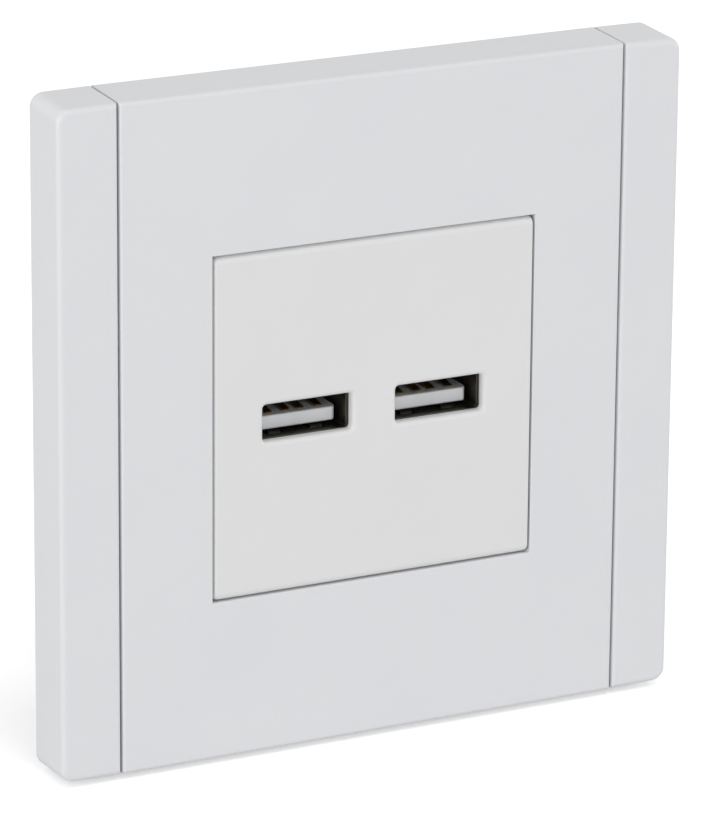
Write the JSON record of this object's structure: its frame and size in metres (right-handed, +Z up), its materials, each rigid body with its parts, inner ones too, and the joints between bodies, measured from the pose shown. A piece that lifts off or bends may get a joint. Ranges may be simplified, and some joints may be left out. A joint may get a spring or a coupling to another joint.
{
  "type": "usb wall socket",
  "caption": "Flush square wall socket with twin type-A charging ports in a centre plate, side trim strips, steel strap, spreading claws and rear charger housing.",
  "frame": {"origin": "midway between the two box screw holes, on the wall plane at the back of the mounting strap", "axes": "-Y out of the wall towards the user, +X to the right and +Z up as seen from the front"},
  "size_m": [0.087, 0.0365, 0.088],
  "materials": {
    "white_cover": "satin",
    "white_housing": "matte",
    "grey_housing": "matte",
    "zinc_plated_steel": "zinc plated",
    "screw_steel": "zinc plated",
    "nickel_shell": "nickel plated",
    "tongue_plastic": "moulded",
    "contact_gold": "gold flash",
    "circuit_board": "solder mask",
    "black_component": "moulded",
    "ferrite": "sintered",
    "winding_tape": "tape",
    "capacitor_sleeve": "shrink sleeve",
    "resistor_coat": "lacquer",
    "blue_epoxy": "dipped",
    "copper_winding": "enamelled wire",
    "terminal_plastic": "moulded",
    "brass": "plain",
    "cage_steel": "chromated"
  },
  "bodies": {
    "root": {"frame_body": "white_cover", "left_strip": "white_cover", "right_strip": "white_cover", "centre_plate": "white_cover", "usb_shell_left": "nickel_shell", "usb_shell_right": "nickel_shell", "usb_tongue_left": "tongue_plastic", "usb_tongue_right": "tongue_plastic", "usb_contacts_left": "contact_gold", "usb_contacts_right": "contact_gold", "mounting_strap": "zinc_plated_steel", "front_housing": "white_housing", "rear_housing": "grey_housing", "housing_screws": "screw_steel", "usb_board": "circuit_board", "power_board": "circuit_board", "board_header": "black_component", "charge_controller": "black_component", "transformer_core": "ferrite", "transformer_bobbin": "black_component", "transformer_winding": "winding_tape", "input_capacitors": "capacitor_sleeve", "output_capacitors": "capacitor_sleeve", "bridge_rectifier": "black_component", "fuse_resistor": "resistor_coat", "varistor": "blue_epoxy", "safety_capacitor": "blue_epoxy", "choke": "copper_winding", "output_rectifier": "black_component", "terminal_block": "terminal_plastic", "terminal_busbars": "brass", "claw_pin_left": "screw_steel", "claw_pin_right": "screw_steel"},
    "claw_left": {"claw_left": "zinc_plated_steel"},
    "claw_nut_left": {"claw_nut_left": "brass"},
    "terminal_cage_left": {"terminal_cage_left": "cage_steel"},
    "terminal_screw_left": {"terminal_screw_left": "screw_steel"},
    "claw_right": {"claw_right": "zinc_plated_steel"},
    "claw_nut_right": {"claw_nut_right": "brass"},
    "terminal_cage_right": {"terminal_cage_right": "cage_steel"},
    "terminal_screw_right": {"terminal_screw_right": "screw_steel"},
    "claw_screw_left": {"claw_screw_left": "screw_steel", "claw_retainer_left": "screw_steel"},
    "claw_screw_right": {"claw_screw_right": "screw_steel", "claw_retainer_right": "screw_steel"}
  },
  "joints": [
    {"name": "claw_nut_left_slide", "type": "slide", "parent": "root", "child": "claw_nut_left", "axis": [0, -1, 0], "range_m": [0, 0.00111]},
    {"name": "claw_screw_left_turn", "type": "hinge", "parent": "root", "child": "claw_screw_left", "pos_m": [-0.0264, 0, 0], "axis": [0, 1, 0], "range_deg": [0, 798]},
    {"name": "claw_left_swing", "type": "hinge", "parent": "root", "child": "claw_left", "pos_m": [-0.0228, 0.0038, 0], "axis": [0, 0, 1], "range_deg": [0, 20]},
    {"name": "terminal_cage_left_slide", "type": "slide", "parent": "root", "child": "terminal_cage_left", "axis": [0, 0, -1], "range_m": [0, 0.0026]},
    {"name": "terminal_screw_left_turn", "type": "hinge", "parent": "root", "child": "terminal_screw_left", "pos_m": [-0.0056, 0.02045, -0.017], "axis": [0, 0, 1], "range_deg": [0, 1872]},
    {"name": "claw_nut_right_slide", "type": "slide", "parent": "root", "child": "claw_nut_right", "axis": [0, -1, 0], "range_m": [0, 0.00111]},
    {"name": "claw_screw_right_turn", "type": "hinge", "parent": "root", "child": "claw_screw_right", "pos_m": [0.0264, 0, 0], "axis": [0, 1, 0], "range_deg": [0, 798]},
    {"name": "claw_right_swing", "type": "hinge", "parent": "root", "child": "claw_right", "pos_m": [0.0228, 0.0038, 0], "axis": [0, 0, -1], "range_deg": [0, 20]},
    {"name": "terminal_cage_right_slide", "type": "slide", "parent": "root", "child": "terminal_cage_right", "axis": [0, 0, -1], "range_m": [0, 0.0026]},
    {"name": "terminal_screw_right_turn", "type": "hinge", "parent": "root", "child": "terminal_screw_right", "pos_m": [0.0056, 0.02045, -0.017], "axis": [0, 0, 1], "range_deg": [0, 1872]}
  ],
  "couplings": [
    {"joint": "claw_screw_left_turn", "follows": "claw_nut_left_slide", "rad_per_m": 12566},
    {"joint": "claw_left_swing", "follows": "claw_nut_left_slide", "rad_per_m": 314.9},
    {"joint": "terminal_screw_left_turn", "follows": "terminal_cage_left_slide", "rad_per_m": 12566},
    {"joint": "claw_screw_right_turn", "follows": "claw_nut_right_slide", "rad_per_m": 12566},
    {"joint": "claw_right_swing", "follows": "claw_nut_right_slide", "rad_per_m": 314.9},
    {"joint": "terminal_screw_right_turn", "follows": "terminal_cage_right_slide", "rad_per_m": 12566}
  ]
}
